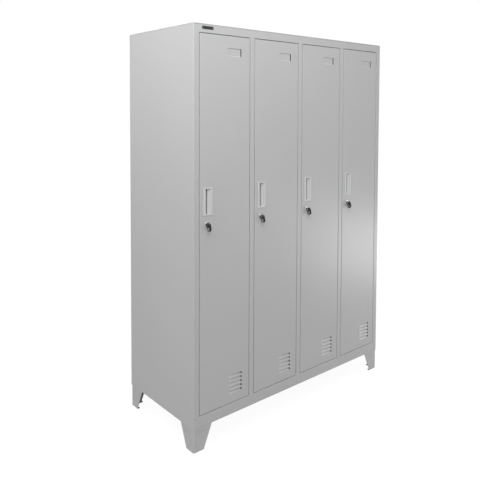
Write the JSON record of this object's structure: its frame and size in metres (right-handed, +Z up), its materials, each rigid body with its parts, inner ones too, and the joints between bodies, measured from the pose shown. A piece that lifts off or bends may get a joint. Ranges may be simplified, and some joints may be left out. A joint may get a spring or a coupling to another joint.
{
  "type": "locker cabinet",
  "caption": "Tall light-grey steel locker cabinet with side-by-side inset doors, flush pulls, cam locks with folding keys, louvres, shelves and coat rails, on tapered legs.",
  "frame": {"origin": "on the floor, in the middle of the footprint with the hanging keys counted in", "axes": "+X to the right of someone facing the doors, +Y to the rear, +Z up; the doors face -Y"},
  "size_m": [1.2, 0.5235, 1.725],
  "materials": {
    "powder_coat": "light grey powder coat, semi-gloss, fine orange peel",
    "pull_plastic": "light grey moulded plastic",
    "chrome": "polished chrome plate",
    "nickel": "nickel plate, fine drawn",
    "zinc": "bright zinc plate",
    "black_plastic": "glossy black moulded plastic",
    "dark_plate": "dark grey plate, blank"
  },
  "bodies": {
    "cabinet": {"back_panel": "powder_coat", "side_panel_left": "powder_coat", "side_panel_right": "powder_coat", "top_panel": "powder_coat", "bottom_panel": "powder_coat", "front_frame": "powder_coat", "divider_1": "powder_coat", "divider_2": "powder_coat", "divider_3": "powder_coat", "name_plate": "dark_plate", "leg_front_left": "powder_coat", "leg_front_right": "powder_coat", "leg_rear_left": "powder_coat", "leg_rear_right": "powder_coat", "hinge_pin_lower_1": "zinc", "hinge_pin_upper_1": "zinc", "shelf_1": "powder_coat", "coat_rail_1": "zinc", "hinge_pin_lower_2": "zinc", "hinge_pin_upper_2": "zinc", "shelf_2": "powder_coat", "coat_rail_2": "zinc", "hinge_pin_lower_3": "zinc", "hinge_pin_upper_3": "zinc", "shelf_3": "powder_coat", "coat_rail_3": "zinc", "hinge_pin_lower_4": "zinc", "hinge_pin_upper_4": "zinc", "shelf_4": "powder_coat", "coat_rail_4": "zinc"},
    "door_1": {"door_1": "powder_coat", "pull_1": "pull_plastic", "lock_housing_1": "chrome"},
    "lock_1": {"lock_plug_1": "nickel", "lock_cam_1": "zinc"},
    "key_1": {"key_blade_1": "nickel"},
    "key_bow_1": {"key_bow_1": "black_plastic"},
    "door_2": {"door_2": "powder_coat", "pull_2": "pull_plastic", "lock_housing_2": "chrome"},
    "lock_2": {"lock_plug_2": "nickel", "lock_cam_2": "zinc"},
    "key_2": {"key_blade_2": "nickel"},
    "key_bow_2": {"key_bow_2": "black_plastic"},
    "door_3": {"door_3": "powder_coat", "pull_3": "pull_plastic", "lock_housing_3": "chrome"},
    "lock_3": {"lock_plug_3": "nickel", "lock_cam_3": "zinc"},
    "key_3": {"key_blade_3": "nickel"},
    "key_bow_3": {"key_bow_3": "black_plastic"},
    "door_4": {"door_4": "powder_coat", "pull_4": "pull_plastic", "lock_housing_4": "chrome"},
    "lock_4": {"lock_plug_4": "nickel", "lock_cam_4": "zinc"},
    "key_4": {"key_blade_4": "nickel"},
    "key_bow_4": {"key_bow_4": "black_plastic"}
  },
  "joints": [
    {"name": "door_1_hinge", "type": "hinge", "parent": "cabinet", "child": "door_1", "pos_m": [-0.31275, -0.23225, 0.916], "axis": [0, 0, 1], "range_deg": [0, 105]},
    {"name": "lock_1_turn", "type": "hinge", "parent": "door_1", "child": "lock_1", "pos_m": [-0.5315, -0.23825, 0.923], "axis": [0, 1, 0], "range_deg": [0, 90]},
    {"name": "key_1_pull", "type": "slide", "parent": "lock_1", "child": "key_1", "axis": [0, -1, 0], "range_m": [0, 0.03]},
    {"name": "key_1_fold", "type": "hinge", "parent": "key_1", "child": "key_bow_1", "pos_m": [-0.5315, -0.25175, 0.923], "axis": [-1, 0, 0], "range_deg": [0, 180]},
    {"name": "door_2_hinge", "type": "hinge", "parent": "cabinet", "child": "door_2", "pos_m": [-0.0205, -0.23225, 0.916], "axis": [0, 0, 1], "range_deg": [0, 105]},
    {"name": "lock_2_turn", "type": "hinge", "parent": "door_2", "child": "lock_2", "pos_m": [-0.23925, -0.23825, 0.923], "axis": [0, 1, 0], "range_deg": [0, 90]},
    {"name": "key_2_pull", "type": "slide", "parent": "lock_2", "child": "key_2", "axis": [0, -1, 0], "range_m": [0, 0.03]},
    {"name": "key_2_fold", "type": "hinge", "parent": "key_2", "child": "key_bow_2", "pos_m": [-0.23925, -0.25175, 0.923], "axis": [-1, 0, 0], "range_deg": [0, 180]},
    {"name": "door_3_hinge", "type": "hinge", "parent": "cabinet", "child": "door_3", "pos_m": [0.27175, -0.23225, 0.916], "axis": [0, 0, 1], "range_deg": [0, 105]},
    {"name": "lock_3_turn", "type": "hinge", "parent": "door_3", "child": "lock_3", "pos_m": [0.053, -0.23825, 0.923], "axis": [0, 1, 0], "range_deg": [0, 90]},
    {"name": "key_3_pull", "type": "slide", "parent": "lock_3", "child": "key_3", "axis": [0, -1, 0], "range_m": [0, 0.03]},
    {"name": "key_3_fold", "type": "hinge", "parent": "key_3", "child": "key_bow_3", "pos_m": [0.053, -0.25175, 0.923], "axis": [-1, 0, 0], "range_deg": [0, 180]},
    {"name": "door_4_hinge", "type": "hinge", "parent": "cabinet", "child": "door_4", "pos_m": [0.564, -0.23225, 0.916], "axis": [0, 0, 1], "range_deg": [0, 105]},
    {"name": "lock_4_turn", "type": "hinge", "parent": "door_4", "child": "lock_4", "pos_m": [0.34525, -0.23825, 0.923], "axis": [0, 1, 0], "range_deg": [0, 90]},
    {"name": "key_4_pull", "type": "slide", "parent": "lock_4", "child": "key_4", "axis": [0, -1, 0], "range_m": [0, 0.03]},
    {"name": "key_4_fold", "type": "hinge", "parent": "key_4", "child": "key_bow_4", "pos_m": [0.34525, -0.25175, 0.923], "axis": [-1, 0, 0], "range_deg": [0, 180]}
  ]
}
